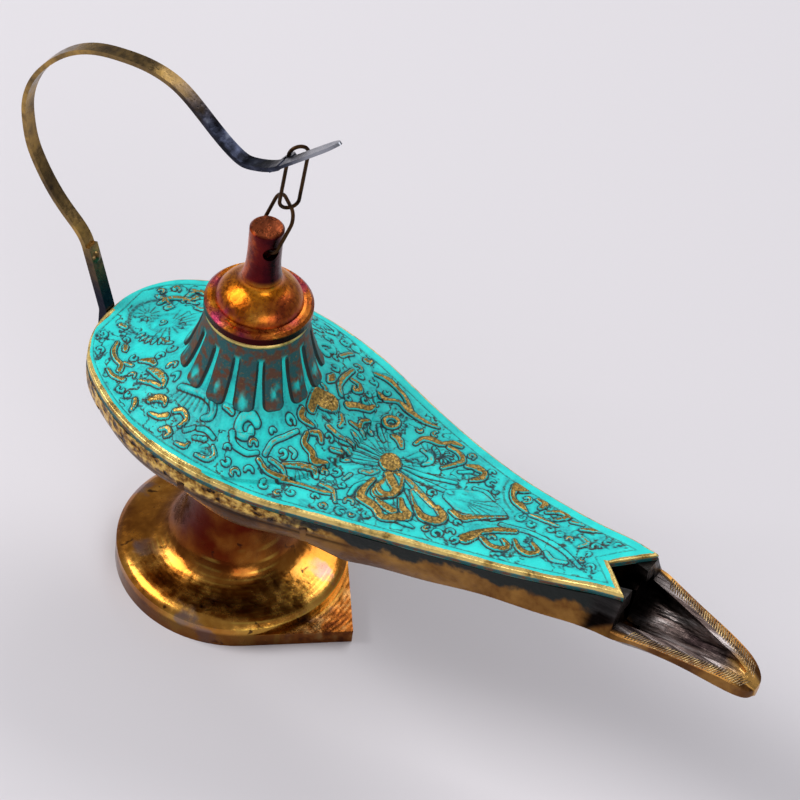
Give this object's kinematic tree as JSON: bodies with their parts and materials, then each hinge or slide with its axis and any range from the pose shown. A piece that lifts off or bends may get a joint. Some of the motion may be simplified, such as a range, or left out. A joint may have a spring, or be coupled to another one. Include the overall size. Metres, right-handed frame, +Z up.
{
  "type": "oil lamp",
  "caption": "Free-standing boat-shaped brass oil lamp: open trough spout, lift-off lid on a two-link wire chain, bent strap handle and a turned foot with a pointed toe.",
  "frame": {"origin": "on the table plane, on the common axis of the foot, the neck and the lid", "axes": "+Z up along the lid's axis, +X along the spout, +Y to the lamp's left as seen from behind the handle looking along the spout"},
  "size_m": [0.2114, 0.0636, 0.1507],
  "materials": {
    "bowl_brass": "cast and worn, browned, brighter along the rim",
    "cover_patina": "turquoise patina over cast brass, rubbed through on the raised ornament",
    "lid_copper": "turned, heat-tinted copper red with maroon shades",
    "lid_brass": "plain turned brass",
    "chain_wire": "dark brown wire",
    "strap_brass": "rolled strip, darkened, with worn gold edges",
    "rivet_brass": "hammered heads",
    "foot_brass": "turned and polished, tarnished in the neck"
  },
  "bodies": {
    "lamp": {"bowl": "bowl_brass", "top_plate": "cover_patina", "handle_strap": "strap_brass", "handle_tang": "strap_brass", "root_rivets": "rivet_brass", "lap_rivet": "rivet_brass", "foot": "foot_brass", "foot_washer": "lid_brass", "foot_screw": "lid_brass"},
    "lid": {"lid_cap": "lid_copper", "lid_spigot": "lid_brass", "lid_finial": "lid_copper"},
    "chain_lower": {"lower_link": "chain_wire"},
    "chain_upper": {"upper_link": "chain_wire"}
  },
  "joints": [
    {"name": "lid_lift", "type": "slide", "parent": "lamp", "child": "lid", "axis": [0, 0, 1], "range_m": [0, 0.004]},
    {"name": "lower_link_swing", "type": "hinge", "parent": "lid", "child": "chain_lower", "pos_m": [0, 0, 0.1095], "axis": [0.8151, -0.5793, 0], "range_deg": [-2, 2]},
    {"name": "upper_link_swing", "type": "hinge", "parent": "lamp", "child": "chain_upper", "pos_m": [0.0018, 0.0027, 0.13537], "axis": [1, 0, 0], "range_deg": [-3, 2]}
  ]
}
